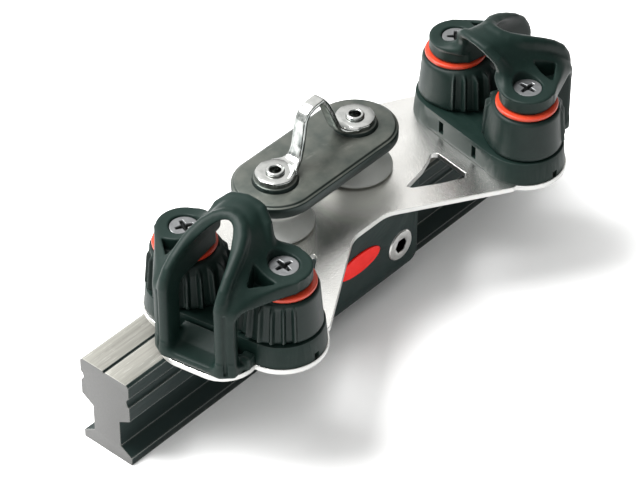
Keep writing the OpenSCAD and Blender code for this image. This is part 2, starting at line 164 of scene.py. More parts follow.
def recut(node, material, body, edge, name=None, bend=28, flat=False):
    """A copy of a CAD node as one clean skin: doubles merged, flat triangles joined into
    faces, and every edge that turns more than `bend` degrees rounded `edge` mm wide. `flat`
    keeps a sheet's faces plane in the shading."""
    piece = bpy.data.objects.new(name or node + "_finished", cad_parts[node].data.copy())
    bpy.context.scene.collection.objects.link(piece)
    skin = bmesh.new()
    skin.from_mesh(piece.data)
    bmesh.ops.remove_doubles(skin, verts=skin.verts, dist=WELD_GAP * MM)
    bmesh.ops.dissolve_limit(skin, angle_limit=math.radians(SAME_PLANE), verts=skin.verts,
                             edges=skin.edges)
    skin.to_mesh(piece.data)
    skin.free()
    piece.data.materials.clear()
    piece.data.materials.append(material)
    if flat:
        piece.data.shade_flat()
    else:
        piece.data.shade_smooth()
    rounding = piece.modifiers.new("rounded_edges", "BEVEL")
    rounding.width = edge * MM
    rounding.segments = 3
    rounding.limit_method = "ANGLE"
    rounding.angle_limit = math.radians(bend)
    rounding.harden_normals = not flat
    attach(piece, body)
    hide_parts(node)
    return piece


def rail_finish():
    f = Finish("rail_anodised")
    # Painted reflection: `top` marks the head's upper face, which is painted pale grey for the
    # light it reflects; the scuffs are kept to it too.
    top = f.facing("Z").above(0.75, 0.95) * f.along("Z").above(33 * MM, 35 * MM)
    sawn = (f.facing("X") * f.facing("X")).above(0.8, 0.95)
    streaks = f.grain(0.9, 4, 0.6, stretch=(60, 1, 1))
    clouds = f.grain(14, 3, 0.5, stretch=(3, 1, 1))
    scuffs = f.grain(0.35, 2, 0.5, stretch=(18, 1, 1)).above(0.62, 0.72)
    worn = (f.rim(0.8) * (0.4 + clouds)).held()
    side = f.tint(clouds, (0.003, 0.0095, 0.0088), (0.013, 0.023, 0.022))
    drawn = (streaks * 0.7 + clouds * 0.3).above(0.3, 0.7)
    # The pale painted reflection colour of the head, streaked along the rail.
    head = f.tint(drawn, (0.17, 0.168, 0.15), (0.27, 0.265, 0.24))
    colour = f.tint(worn * 0.6, f.tint(top, side, head), (0.5, 0.5, 0.47))
    colour = f.tint(scuffs * top * 0.35, colour, (0.55, 0.55, 0.52))
    colour = f.tint(sawn, colour, (0.11, 0.11, 0.108))
    return f.done(colour, 0.34 + streaks * 0.22 - worn * 0.1, 0.2 + (top + sawn) * 0.55,
                  height=streaks * 0.7 + clouds * 0.3, depth=0.02,
                  plain={"Specular IOR Level": 0.2})


recut("track_rail", rail_finish(), "track", 0.35)

# ---- the car --------------------------------------------------------------------------
# Milled aluminium, anodised black with a green cast, over moulded end blocks that turn the
# balls back. Four button-head screws hold the blocks in through the sides.


def car_finish():
    f = Finish("car_anodised")
    mill = f.grain(0.5, 3, 0.6, stretch=(40, 1, 1))
    clouds = f.grain(6, 3)
    worn = (f.rim(0.5) * clouds.above(0.35, 0.6)).held()
    colour = f.tint(clouds, (0.0015, 0.0095, 0.0082), (0.0055, 0.0185, 0.0165))
    colour = f.tint(worn * 0.5, colour, (0.28, 0.29, 0.28))
    return f.done(colour, 0.32 + mill * 0.2, 0.0, height=mill, depth=0.012,
                  plain={"Specular IOR Level": 0.16})


def end_block_finish():
    f = Finish("end_block_moulded")
    pebbles = f.grain(0.4, 2)
    clouds = f.grain(5, 3)
    return f.done(f.tint(clouds, (0.004, 0.007, 0.007), (0.012, 0.017, 0.017)),
                  0.45 + clouds * 0.15, height=pebbles, depth=0.02,
                  plain={"Specular IOR Level": 0.3})


def button_head_finish():
    f = Finish("button_head_steel")
    turned = f.grain(0.25, 3, 0.6, stretch=(1, 8, 1))
    clouds = f.grain(2.5, 3)
    worn = f.rim(0.3)
    colour = f.tint(clouds, (0.36, 0.36, 0.35), (0.62, 0.62, 0.60))
    colour = f.tint(worn * 0.6, colour, (0.85, 0.85, 0.83))
    return f.done(colour, 0.20 + turned * 0.2, 1.0, height=turned, depth=0.01)


def ball_finish():
    f = Finish("ball_steel_ground")
    clouds = f.grain(0.8, 2)
    return f.done(f.tint(clouds, (0.72, 0.72, 0.73), (0.86, 0.86, 0.86)), 0.08 + clouds * 0.08, 1.0)


def coat_node(node, material):
    """Gives a CAD node that stays a new material."""
    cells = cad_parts[node].data.materials
    cells.clear()
    cells.append(material)


recut("car_body", car_finish(), "car", 0.5)
block_moulding, button_head, ball_steel = end_block_finish(), button_head_finish(), ball_finish()
for side in ("left", "right"):
    recut("end_block_" + side, block_moulding, "car", 0.3)
for bank in ("near", "far"):
    recut("side_screws_" + bank, button_head, "car", 0.3)
    coat_node("car_balls_" + bank, ball_steel)

# ---- the badges -----------------------------------------------------------------------
# A plain oval label on each side of the car: clear resin domed over a red print, with a
# slightly darker rim where the resin thins.


SAME_POINT = 0.0005    # mm


def made_mesh(name, points, faces, material, body, nodes=(), sharp=None):
    """A piece from points in metres and faces as rows of indices. A skin whose volume comes
    out negative is turned to face outward. `sharp` splits the shading where faces meet at
    more than that many degrees."""
    mesh = bpy.data.meshes.new(name)
    mesh.from_pydata(np.asarray(points, float).tolist(), [], np.asarray(faces).tolist())
    skin = bmesh.new()
    skin.from_mesh(mesh)
    bmesh.ops.remove_doubles(skin, verts=skin.verts, dist=SAME_POINT * MM)
    bmesh.ops.dissolve_degenerate(skin, edges=skin.edges, dist=SAME_POINT * MM)
    if skin.calc_volume(signed=True) < 0:
        bmesh.ops.reverse_faces(skin, faces=skin.faces)
    skin.to_mesh(mesh)
    skin.free()
    mesh.shade_smooth()
    if sharp:
        mesh.set_sharp_from_angle(angle=math.radians(sharp))
    mesh.materials.append(material)
    piece = bpy.data.objects.new(name, mesh)
    bpy.context.scene.collection.objects.link(piece)
    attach(piece, body)
    if nodes:
        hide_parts(*nodes)
    return piece


def quads(rows, columns, wrap_rows=False):
    """Faces of a grid whose columns close on themselves. Rows close too if asked."""
    i, j = np.meshgrid(np.arange(rows if wrap_rows else rows - 1), np.arange(columns),
                       indexing="ij")
    i2, j2 = (i + 1) % rows, (j + 1) % columns
    ring = [i * columns + j, i * columns + j2, i2 * columns + j2, i2 * columns + j]
    return np.stack(ring, -1).reshape(-1, 4)


def badge_finish():
    f = Finish("badge_domed_red")
    clouds = f.grain(3, 2)
    rim = f.rim(1.0, 3)
    colour = f.tint(clouds, (0.72, 0.006, 0.003), (0.88, 0.012, 0.006))
    return f.done(f.tint(rim * 0.5, colour, (0.45, 0.006, 0.003)), 0.16 + clouds * 0.08,
                  plain={"Specular IOR Level": 0.12, "Coat Weight": 0.03, "Coat Roughness": 0.1})


def badge_points(bank):
    """An oval dome: the angle runs round it and the share from rim to middle across it. The
    rim rises upright, then the dome follows a circle's arc, flat in the middle."""
    lo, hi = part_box("badge_" + bank)
    middle, half = (lo + hi) / 2, (hi - lo) / 2
    sign = -1 if bank == "near" else 1
    foot = lo.y if bank == "far" else hi.y
    angle = np.linspace(0, 2 * math.pi, 96, endpoint=False)
    share = np.array([0, 0.985, 1, 1, 0.985, 0.95, 0.9, 0.8, 0.65, 0.5, 0.35, 0.2, 0.1, 0])
    rise = np.array([0, 0, 0.1, 0.45, 0.56, 0.68, 0.75, 0.84, 0.92, 0.965, 0.985, 0.995, 1, 1])
    x = middle.x + half.x * share[:, None] * np.cos(angle)
    z = middle.z + half.z * share[:, None] * np.sin(angle)
    y = foot + sign * 2 * half.y * rise[:, None] + 0 * x
    return np.stack([x, y, z], -1).reshape(-1, 3), quads(len(share), len(angle))


badge_red = badge_finish()
for bank in ("near", "far"):
    points, faces = badge_points(bank)
    made_mesh("badge_dome_" + bank, points, faces, badge_red, "car", ["badge_" + bank])

# ---- the plate ------------------------------------------------------------------------
# Laser-cut 2 mm stainless steel, bead-blasted to a fine pale satin, with a greyer streaked
# edge. It lies on the car and carries both cleats on its arms.


def plate_finish():
    f = Finish("plate_blasted_steel")
    blast = f.grain(0.5, 3, 0.75)
    clouds = f.grain(16, 4, 0.5)
    smears = f.grain(5, 4, 0.6, stretch=(2, 5, 1))
    edge = 1 - f.facing("Z").above(0.5, 0.9)
    shear = f.grain(0.3, 2, 0.5, stretch=(1, 1, 14))
    mottle = (clouds * 0.6 + blast * 0.4).above(0.3, 0.7)
    face = f.tint(mottle, (0.76, 0.75, 0.72), (0.93, 0.92, 0.895))
    colour = f.tint(edge, face, (0.44, 0.44, 0.43))
    rough = 0.12 + blast * 0.16 + (smears - 0.5) * 0.05 + edge * (0.1 + shear * 0.12)
    return f.done(colour, rough, 1.0, height=blast, depth=0.08)


recut("mounting_plate", plate_finish(), "car", 0.22, bend=35, flat=True)

# ---- the sheaves ----------------------------------------------------------------------
# Two free-running wheels turned from pale acetal, with wide coned flanges either side of a
# tight groove. Each turns on a bronze bush that stands on the plate.

SHEAVE_ROUND, SHEAVE_BORE, SHEAVE_GROOVE = 128, 5.08, 7.4


def turned(profile, centre, columns):
    """A closed [radius, height] profile in mm carried round the upright axis at `centre`,
    given in metres: radius times the cosine and sine of the angle, height unchanged."""
    profile = np.asarray(profile, float) * MM
    angle = np.linspace(0, 2 * math.pi, columns, endpoint=False)
    x = centre[0] + profile[:, :1] * np.cos(angle)
    y = centre[1] + profile[:, :1] * np.sin(angle)
    z = centre[2] + profile[:, 1:] + 0 * x
    return np.stack([x, y, z], -1).reshape(-1, 3), quads(len(profile), columns, wrap_rows=True)


def rounded_loop(corners, radius, steps=5):
    """A closed outline with each corner replaced by an arc: a quadratic curve from one
    cut-back point to the other, cut back by `radius` or a little under half an edge."""
    p = np.asarray(corners, float)
    radius = np.broadcast_to(radius, len(p)).astype(float)
    before, after = np.roll(p, 1, 0) - p, np.roll(p, -1, 0) - p
    lb, la = np.linalg.norm(before, axis=1), np.linalg.norm(after, axis=1)
    cut = np.minimum(radius, 0.49 * np.minimum(lb, la))[:, None]
    a, b = p + before / lb[:, None] * cut, p + after / la[:, None] * cut
    t = np.linspace(0, 1, steps)[None, :, None]
    arc = (1 - t) ** 2 * a[:, None] + 2 * t * (1 - t) * p[:, None] + t ** 2 * b[:, None]
    return arc.reshape(-1, p.shape[1])


def sheave_finish():
    f = Finish("sheave_acetal")
    clouds = f.grain(7, 3)
    lathe = f.grain(0.25, 2, 0.5, stretch=(30, 30, 1))
    dirt = f.grain(1.6, 4, 0.6).above(0.6, 0.78)
    colour = f.tint(clouds, (0.36, 0.37, 0.355), (0.50, 0.51, 0.49))
    colour = f.tint(dirt * 0.25, colour, (0.30, 0.30, 0.27))
    return f.done(colour, 0.26 + clouds * 0.14 + dirt * 0.2, height=lathe, depth=0.01,
                  plain={"Coat Weight": 0.15, "Coat Roughness": 0.25})


def sheave_profile(height, radius, bore):
    """Half of the section of a wheel: flanges coned at about 30 degrees down to the groove."""
    mid, groove = height / 2, SHEAVE_GROOVE
    corners = [[bore, 0], [radius - 0.5, 0], [radius, 0.7], [radius - 0.35, 1.5],
               [groove + 1.2, mid - 1.9], [groove, mid - 0.7],
               [groove, mid + 0.7], [groove + 1.2, mid + 1.9],
               [radius - 0.35, height - 1.5], [radius, height - 0.7], [radius - 0.5, height],
               [bore, height]]
    return rounded_loop(corners, [0.3, 0.3, 0.4, 0.4, 1.0, 0.8, 0.8, 1.0, 0.4, 0.4, 0.3, 0.3], 4)


def bush_finish():
    f = Finish("bush_bronze")
    clouds = f.grain(1.5, 3)
    return f.done(f.tint(clouds, (0.42, 0.24, 0.09), (0.60, 0.38, 0.17)), 0.25 + clouds * 0.2, 1.0)


acetal, bronze = sheave_finish(), bush_finish()
for side in ("left", "right"):
    lo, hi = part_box("sheave_" + side)
    height, radius = (hi.z - lo.z) / MM, (hi.x - lo.x) / 2 / MM
    centre = ((lo.x + hi.x) / 2, (lo.y + hi.y) / 2, lo.z)
    points, faces = turned(sheave_profile(height, radius, SHEAVE_BORE), centre, SHEAVE_ROUND)
    made_mesh("sheave_wheel_" + side, points, faces, acetal, "sheave_" + side,
              ["sheave_" + side], sharp=50)
    coat_node("sheave_bush_" + side, bronze)

# ---- the cheek plate ------------------------------------------------------------------
# A thick grey-anodised bar with round ends that closes the sheaves in from above. Its top
# edge is stepped, and two round bosses lift the strap's feet off it.


def stadium(half, radius, columns):
    """Points round an outline with round ends, `radius` about a line `half` either side.
    The same column keeps the same direction at every radius, so nested rings line up."""
    turn = np.linspace(-math.pi / 2, math.pi / 2, columns // 4)
    run = np.linspace(-half, half, columns // 4 + 2)[1:-1]
    right = np.stack([half + radius * np.cos(turn), radius * np.sin(turn)], -1)
    top = np.stack([run[::-1], 0 * run + radius], -1)
    return np.concatenate([right, top, -right, -top])


def cheek_finish():
    f = Finish("cheek_grey_anodised")
    grain = f.grain(0.3, 3, 0.6, stretch=(22, 1, 1))
    clouds = f.grain(11, 4)
    rubs = f.grain(1.8, 4, 0.65, stretch=(4, 1.5, 1)).above(0.62, 0.75)
    worn = (f.rim(0.6) * clouds.above(0.3, 0.6)).held()
    top = f.facing("Z").above(0.6, 0.9)
    colour = f.tint(clouds.above(0.3, 0.7), (0.045, 0.056, 0.050), (0.115, 0.120, 0.105))
    # Painted shade: every face that doesn't look up is painted near black, so the sides read as
    # shaded and only the top keeps the lit grey.
    colour = f.tint(top, (0.008, 0.016, 0.014), colour)
    colour = f.tint(rubs * top * 0.25 + worn * 0.35, colour, (0.26, 0.26, 0.235))
    return f.done(colour, 0.24 + grain * 0.14 + clouds * 0.06, 0.6, height=grain, depth=0.012)


CHEEK_ROUND, BOSS_ROUND = 240, 96
CHEEK_T, BOSS_LIFT, BOSS_BORE = 5.0, 1.5, 2.7
cheek_lo, cheek_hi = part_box("cheek_plate")
rivet_x = (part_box("rivet_right")[0].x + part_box("rivet_right")[1].x) / 2 / MM
cheek_r = (cheek_hi.x - cheek_lo.x) / 2 / MM - rivet_x
# inset from the outline and height over the underside, from the middle below to the middle
# above
cheek_skin = np.array([[cheek_r, 0], [0.7, 0], [0.2, 0.15], [0, 0.6], [0, 3.6], [0.1, 4.0],
                       [0.35, 4.2], [0.75, 4.25], [0.95, 4.4], [1.15, 4.85], [1.5, CHEEK_T],
                       [cheek_r, CHEEK_T]])
cheek_rings = [np.column_stack([stadium(rivet_x, cheek_r - inset, CHEEK_ROUND),
                                np.full(CHEEK_ROUND, up)]) for inset, up in cheek_skin]
cheek_points = np.concatenate(cheek_rings) * MM + np.array([0, 0, cheek_lo.z])
cheek_grey = cheek_finish()
made_mesh("cheek_bar", cheek_points, quads(len(cheek_skin), CHEEK_ROUND), cheek_grey, "car",
          ["cheek_plate"], sharp=50)
boss_profile = rounded_loop([[BOSS_BORE, -0.2], [8.2, -0.2], [8.0, 0.3], [7.6, BOSS_LIFT],
                             [BOSS_BORE, BOSS_LIFT]], [0.05, 0.05, 0.3, 0.5, 0.1], 5)
for side, sign in (("left", -1), ("right", 1)):
    boss_foot = (sign * rivet_x * MM, 0, cheek_lo.z + CHEEK_T * MM)
    points, faces = turned(boss_profile, boss_foot, BOSS_ROUND)
    made_mesh("cheek_boss_" + side, points, faces, cheek_grey, "car", sharp=50)

# ---- the eye strap --------------------------------------------------------------------
# Bent from 2 mm stainless flat: two round feet, and a narrow polished loop between them that
# leans to one side, its upright faces painted with streaky dark bands of painted reflection.

STRAP_T, STRAP_W, FOOT_R, FOOT_BORE = 2.0, 4.7, 7.1, 2.66


def strap_finish():
    f = Finish("strap_polished_steel")
    polish = f.grain(0.5, 3, 0.6, stretch=(1, 1, 10))
    clouds = f.grain(3.0, 4, 0.6)
    colour = f.tint(clouds, (0.40, 0.41, 0.40), (0.66, 0.66, 0.64))
    # Painted reflection: upright faces are darkened in streaky vertical bands that stand for the
    # dark surroundings mirrored in the polished steel.
    upright = 1 - f.facing("Z").above(0.6, 0.95)
    painted_reflection_bands = f.grain(1.5, 3, 0.6, stretch=(1, 1, 4)).above(0.40, 0.60)
    colour = f.tint(upright * (0.35 + painted_reflection_bands * 0.5), colour, (0.11, 0.13, 0.125))
    return f.done(colour, 0.08 + polish * 0.10 + clouds * 0.06, 1.0, height=polish + clouds,
                  depth=0.02)


def eased_path(corners, spread, count):
    """Evenly spaced points on a path of straight pieces whose bends are averaged over
    `spread` mm: a running mean of the path by its own length."""
    corners = np.asarray(corners, float)
    length = np.concatenate([[0], np.cumsum(np.linalg.norm(np.diff(corners, axis=0), axis=1))])
    fine = np.linspace(0, length[-1], 40 * len(corners))
    path = np.stack([np.interp(fine, length, c) for c in corners.T], -1)
    window = max(3, int(spread / (fine[1] - fine[0])) | 1)
    padded = np.concatenate([2 * path[:1] - path[window:0:-1], path,
                             2 * path[-1:] - path[-2:-window - 2:-1]])
    mean = np.ones(window) / window
    smooth = np.stack([np.convolve(c, mean, "same") for c in padded.T], -1)[window:-window]
    return smooth[np.linspace(0, len(smooth) - 1, count).astype(int)]


def strap_loop(foot_z, rise):
    """A rounded flat section carried along the bent path. The path lies in the XZ plane; the
    section spans Y by the width there and the path's own normal by the thickness. Cosine and
    sine to the power `square` make it a rounded rectangle."""
    shares = [[-17.5, 0], [-13.2, 0], [-11.2, 0.05], [-10.0, 0.22], [-9.1, 0.48], [-8.2, 0.77],
              [-6.3, 0.91], [-2.9, 0.985], [2.2, 1.0], [4.6, 0.83], [7.0, 0.58], [10.3, 0.16],
              [11.8, 0.04], [13.8, 0], [17.5, 0]]
    outer = np.array([[x, foot_z + STRAP_T + rise * s] for x, s in shares])
    path = eased_path(outer, 2.0, 150)
    way = np.gradient(path, axis=0)
    way /= np.linalg.norm(way, axis=1)[:, None]
    inward = np.stack([way[:, 1], -way[:, 0]], -1)
    middle = path + inward * STRAP_T / 2
    reach = np.abs(path[:, 0])
    low = np.clip((path[:, 1] - foot_z - STRAP_T) / rise, 0, 1)
    width = STRAP_W + 0.5 * (1 - low) + 6.6 * np.clip((reach - 10.2) / 5.5, 0, 1) ** 1.5
    turn = np.linspace(0, 2 * math.pi, 32, endpoint=False)
    square = 0.42
    across = np.sign(np.cos(turn)) * np.abs(np.cos(turn)) ** square
    through = np.sign(np.sin(turn)) * np.abs(np.sin(turn)) ** square
    y = width[:, None] / 2 * across
    t = STRAP_T / 2 * through
    x = middle[:, :1] + inward[:, :1] * t + 0 * y
    z = middle[:, 1:] + inward[:, 1:] * t + 0 * y
    rings = np.stack([x, y, z], -1)
    ends = [np.repeat(ring.mean(0, keepdims=True), len(turn), 0)[None]
            for ring in (rings[0], rings[-1])]
    rings = np.concatenate([ends[0], rings, ends[1]])
    return rings.reshape(-1, 3) * MM, quads(len(rings), len(turn))


def strap_foot(centre):
    """A round foot with eight faint flats: the radius drops a little towards the middle of
    each flat. The section is a closed loop with a bore, carried round the upright axis."""
    angle = np.linspace(0, 2 * math.pi, 128, endpoint=False)
    flat = 0.22 * np.abs(np.sin(4 * angle + 0.4)) ** 0.8
    loop = np.array([[0, 0], [0.93, 0], [0.985, 0.12], [1, 0.4], [1, 1.5], [0.985, 1.82],
                     [0.94, STRAP_T], [0.5, STRAP_T], [0.02, STRAP_T], [0, 1.9]])
    radius = FOOT_BORE + loop[:, :1] * (FOOT_R - flat - FOOT_BORE)
    x = centre[0] + radius * MM * np.cos(angle)
    y = centre[1] + radius * MM * np.sin(angle)
    z = centre[2] + loop[:, 1:] * MM + 0 * x
    return np.stack([x, y, z], -1).reshape(-1, 3), quads(len(loop), len(angle), wrap_rows=True)


strap_lo, strap_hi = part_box("eye_strap")
polished = strap_finish()
foot_z = strap_lo.z / MM
points, faces = strap_loop(foot_z, (strap_hi.z - strap_lo.z) / MM - STRAP_T)
made_mesh("strap_loop", points, faces, polished, "car", ["eye_strap"])
for side, sign in (("left", -1), ("right", 1)):
    points, faces = strap_foot((sign * rivet_x * MM, 0, strap_lo.z))
    made_mesh("strap_foot_" + side, points, faces, polished, "car", sharp=45)

# ---- the rivets -----------------------------------------------------------------------
# Stainless tubes through strap, cheek, bushes, plate and car, with a head rolled over on the
# strap and a flare inside the car. Their bores are left open and are dark inside.


RIVET_R, RIVET_BORE, RIVET_ROUND = 2.6, 1.9, 96


def rivet_points(side):
    """A closed section with a half-round rolled head, carried round the rivet's axis."""
    lo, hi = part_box("rivet_" + side)
    tall = (hi.z - lo.z) / MM
    corners = [[RIVET_BORE, 0.2], [2.2, 0], [3.2, 0.1], [3.2, 0.8], [RIVET_R, 1.6],
               [RIVET_R, tall - 1.15], [3.1, tall - 1.15], [3.4, tall - 0.6], [2.9, tall],
               [2.15, tall], [RIVET_BORE, tall - 0.6]]
    loop = rounded_loop(corners, [0.2, 0.2, 0.3, 0.3, 0.3, 0.05, 0.1, 0.35, 0.35, 0.3, 0.3], 5)
    return turned(loop, ((lo.x + hi.x) / 2, (lo.y + hi.y) / 2, lo.z), RIVET_ROUND)


for side in ("left", "right"):
    points, faces = rivet_points(side)
    made_mesh("rivet_tube_" + side, points, faces, polished, "car",
              ["rivet_" + side], sharp=50)

# ---- the cleats' bases, posts, springs and balls -----------------------------------------
# Each cleat stands on a moulded base with a well under either cam. A coiled torsion spring
# lies in each well round an alloy post, and two rings of balls run between post and cam.


def moulding_finish(name, dark, pale, gloss):
    """Glass-filled nylon: fine spark-eroded texture, slight colour clouds, and edges gone
    grey and smoother with handling."""
    f = Finish(name)
    spark = f.grain(0.28, 3, 0.65)
    clouds = f.grain(7, 4, 0.55)
    rubs = f.grain(2.2, 4, 0.65).above(0.60, 0.78)
    worn = (f.rim(0.7) * clouds.above(0.25, 0.6)).held()
    colour = f.tint(clouds, dark, pale)
    colour = f.tint(worn * 0.4 + rubs * 0.1, colour, (0.065, 0.078, 0.074))
    rough = gloss + spark * 0.14 + clouds * 0.08 - worn * 0.08
    return f.done(colour, rough, height=spark, depth=0.022, plain={"Specular IOR Level": 0.14})


def post_finish():
    f = Finish("post_machined_alloy")
    rings = f.grain(0.3, 2, 0.5, stretch=(20, 20, 1))
    return f.done(f.tint(rings, (0.40, 0.41, 0.41), (0.58, 0.58, 0.57)), 0.25 + rings * 0.2, 0.9,
                  height=rings, depth=0.01)


def spring_finish():
    f = Finish("spring_drawn_wire")
    clouds = f.grain(1.0, 3)
    return f.done(f.tint(clouds, (0.30, 0.30, 0.29), (0.50, 0.50, 0.48)), 0.25 + clouds * 0.15, 1.0)


SPRING_WIRE_R, SPRING_TURNS = 0.6, 4.1


def spring_points(node):
    """A round wire wound up a helix: four turns and a little, flat at neither end."""
    lo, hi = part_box(node)
    centre, wire = (lo + hi) / 2, SPRING_WIRE_R * MM
    coil = (hi.x - lo.x) / 2 - wire
    turn = np.linspace(0, 2 * math.pi * SPRING_TURNS, 330)
    climb = np.linspace(lo.z + wire, hi.z - wire, len(turn))
    around = np.linspace(0, 2 * math.pi, 10, endpoint=False)
    radius = coil + wire * np.cos(around)[None, :]
    x = centre.x + radius * np.cos(turn)[:, None]
    y = centre.y + radius * np.sin(turn)[:, None]
    z = climb[:, None] + wire * np.sin(around)[None, :]
    rings = np.stack([x, y, z], -1)
    ends = [np.repeat(ring.mean(0, keepdims=True), len(around), 0)[None]
            for ring in (rings[0], rings[-1])]
    rings = np.concatenate([ends[0], rings, ends[1]])
    return rings.reshape(-1, 3), quads(len(rings), len(around))


SIDES, BANKS = ("left", "right"), ("near", "far")
base_moulding = moulding_finish("base_moulded_nylon", (0.0018, 0.0085, 0.0066),
                                (0.0075, 0.0175, 0.0145), 0.38)
post_alloy, spring_wire = post_finish(), spring_finish()
for side in SIDES:
    recut("cleat_base_" + side, base_moulding, "car", 0.55)
    coat_node("cam_posts_" + side, post_alloy)
    for bank in BANKS:
        coat_node(f"cam_balls_{bank}_{side}", ball_steel)
        points, faces = spring_points(f"cam_spring_{bank}_{side}")
        made_mesh(f"spring_coil_{bank}_{side}", points, faces, spring_wire, "car",
                  [f"cam_spring_{bank}_{side}"])

# ---- the cams -------------------------------------------------------------------------
# Moulded in carbon-filled nylon. The back is a smooth taper; the gripping side swells out
# and carries upright ribs with rounded crests that fade out just under the top.

PLATE_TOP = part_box("mounting_plate")[1].z


def cleat_frame(side):
    """The cleat's own frame from its two rings: the middle between the cams at the plate's
    top, the outboard direction and the far direction."""
    near, far = [sum(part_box(f"wear_ring_{bank}_{side}"), Vector()) / 2 for bank in BANKS]
    middle = np.array([(near.x + far.x) / 2, (near.y + far.y) / 2, PLATE_TOP])
    v = np.array([far.x - near.x, far.y - near.y, 0])
    pitch = np.linalg.norm(v) / MM / 2
    v /= np.linalg.norm(v)
    sign = 1 if side == "right" else -1
    return middle, np.array([sign * v[1], -sign * v[0], 0]), v, pitch


def in_cleat(side, points):
    """Points in mm [outboard, far, up from the plate] put in the object's frame."""
    middle, u, v, _ = cleat_frame(side)
    up = np.array([0, 0, 1])
    return middle + MM * (points[:, :1] * u + points[:, 1:2] * v + points[:, 2:] * up)


def ease(x, a, b):
    """0 before a, 1 after b, and the cubic 3t2 - 2t3 between."""
    t = np.clip((x - a) / (b - a), 0, 1)
    return t * t * (3 - 2 * t)


CAM_LOW, CAM_TALL, CAM_BORE = 8.8, 16.0, 7.95
CAM_BACK, CAM_LIFT, RIB_PROUD, RIB_PITCH = 13.0, 3.7, 1.9, 16.4
CAM_TAPER, RIB_FIRST, RIB_LAST = 0.1, -47.0, 134.0


def cam_points(side, bank):
    """Outline times height. The radius is the round back plus a swell that peaks toward the
    rope plus ribs: rounded pulses RIB_PITCH degrees apart. All three shrink with a taper of
    one tenth up the cam, and the swell and ribs fade out over its top 3 mm. A closed section
    (outside, rounded rims, top, bore, bottom) is carried round."""
    angle = np.linspace(-180, 180, 540, endpoint=False)
    rows = np.array([0.0, 0.25, 0.8, 1.6, 3, 5, 7, 9, 11, 12, 12.8, 13.5, 14.1, 14.6, 15.0, 15.35,
                     15.65, 15.87, 15.97])
    inset = np.array([0.9, 0.35, 0.05] + [0] * 11 + [0.12, 0.34, 0.68, 1.1, 1.6])
    a, h = angle[None, :], rows[:, None]
    swell = ease(a, -60, 60) * (1 - ease(a, 88, 168))
    away = np.abs(((a - RIB_FIRST) / RIB_PITCH + 0.5) % 1 - 0.5) * RIB_PITCH
    crest = np.exp(-(away / 3.0) ** 2 * (1 + (away / 4.5) ** 2))
    within = ease(a, RIB_FIRST - 5, RIB_FIRST - 2) * (1 - ease(a, RIB_LAST, RIB_LAST + 3))
    fade = 1 - ease(h, 12.8, 15.4)
    start = ease(h, 0.2, 1.5)
    ribs = within * fade * (RIB_PROUD * crest * (0.2 + 0.8 * start) - 0.95)
    body = CAM_BACK + CAM_LIFT * swell * (0.45 + 0.55 * fade) + ribs
    radius = body * (1 - CAM_TAPER * h / CAM_TALL) - inset[:, None]
    ring = np.array([[11.3, CAM_TALL], [CAM_BORE + 0.2, CAM_TALL], [CAM_BORE, CAM_TALL - 0.3],
                     [CAM_BORE, 0.3], [CAM_BORE + 0.3, 0], [11.5, 0]])
    radius = np.concatenate([radius, ring[:, :1] + 0 * a])
    height = np.concatenate([rows, ring[:, 1]])[:, None] + 0 * radius
    t = np.radians(a)
    way = -1 if bank == "near" else 1
    pitch = cleat_frame(side)[3]
    u = radius * np.cos(t)
    v = radius * np.sin(t) * -way + way * pitch
    points = np.stack([u, v, height + CAM_LOW], -1).reshape(-1, 3)
    return in_cleat(side, points), quads(radius.shape[0], len(angle), wrap_rows=True)


def cam_finish():
    f = Finish("cam_carbon_nylon")
    spark = f.grain(0.25, 3, 0.65)
    clouds = f.grain(5, 4, 0.6)
    chafe = f.grain(0.8, 4, 0.6, stretch=(1, 1, 3)).above(0.5, 0.75)
    crest = f.rim(0.9, 3.5)
    colour = f.tint(clouds, (0.0018, 0.0075, 0.0060), (0.0075, 0.0165, 0.0138))
    colour = f.tint(crest * (0.25 + 0.5 * chafe), colour, (0.12, 0.135, 0.13))
    rough = 0.34 + spark * 0.16 + clouds * 0.06 - crest * 0.10
    return f.done(colour, rough, height=spark, depth=0.02, plain={"Specular IOR Level": 0.18})


cam_nylon = cam_finish()
for side in SIDES:
    for bank in BANKS:
        points, faces = cam_points(side, bank)
        made_mesh(f"cam_ribbed_{bank}_{side}", points, faces, cam_nylon, f"cam_{bank}_{side}",
                  [f"cam_{bank}_{side}"])

# ---- the wear rings ---------------------------------------------------------------------
# Bright orange-red acetal rings, pressed into the top of each cam, that rub on the
# underside of the fairlead's bosses.


def wear_ring_finish():
    f = Finish("wear_ring_red")
    clouds = f.grain(4, 3)
    scuff = f.grain(0.6, 3, 0.6, stretch=(1, 1, 0.4)).above(0.58, 0.75)
    colour = f.tint(clouds, (0.34, 0.020, 0.010), (0.52, 0.055, 0.020))
    colour = f.tint(scuff * 0.25, colour, (0.66, 0.20, 0.10))
    return f.done(colour, 0.27 + clouds * 0.1 + scuff * 0.12, height=scuff, depth=0.01,
                  plain={"Specular IOR Level": 0.3, "Coat Weight": 0.1, "Coat Roughness": 0.2})


RING_BORE, RING_ROUND = 8.4, 128
ring_red = wear_ring_finish()
for side in SIDES:
    for bank in BANKS:
        lo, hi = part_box(f"wear_ring_{bank}_{side}")
        outer, tall = (hi.x - lo.x) / 2 / MM, (hi.z - lo.z) / MM
        loop = rounded_loop([[RING_BORE, 0], [outer - 0.25, 0], [outer, 0.45], [outer, tall - 0.1],
                             [RING_BORE, tall]], [0.2, 0.25, 0.35, 0.85, 0.2], 6)
        centre = ((lo.x + hi.x) / 2, (lo.y + hi.y) / 2, lo.z)
        points, faces = turned(loop, centre, RING_ROUND)
        made_mesh(f"wear_ring_band_{bank}_{side}", points, faces, ring_red, f"cam_{bank}_{side}",
                  [f"wear_ring_{bank}_{side}"], sharp=60)

# ---- the fairleads ----------------------------------------------------------------------
# One moulding over each cleat: two bosses that hold the cams down, wings, two legs and a
# hood over the rope with a thick rolled lip. All its parts flow into each other, which a
# sheet on a grid can't do, so it is a field of distances skinned with faces.

FIELD_STEP = 0.4
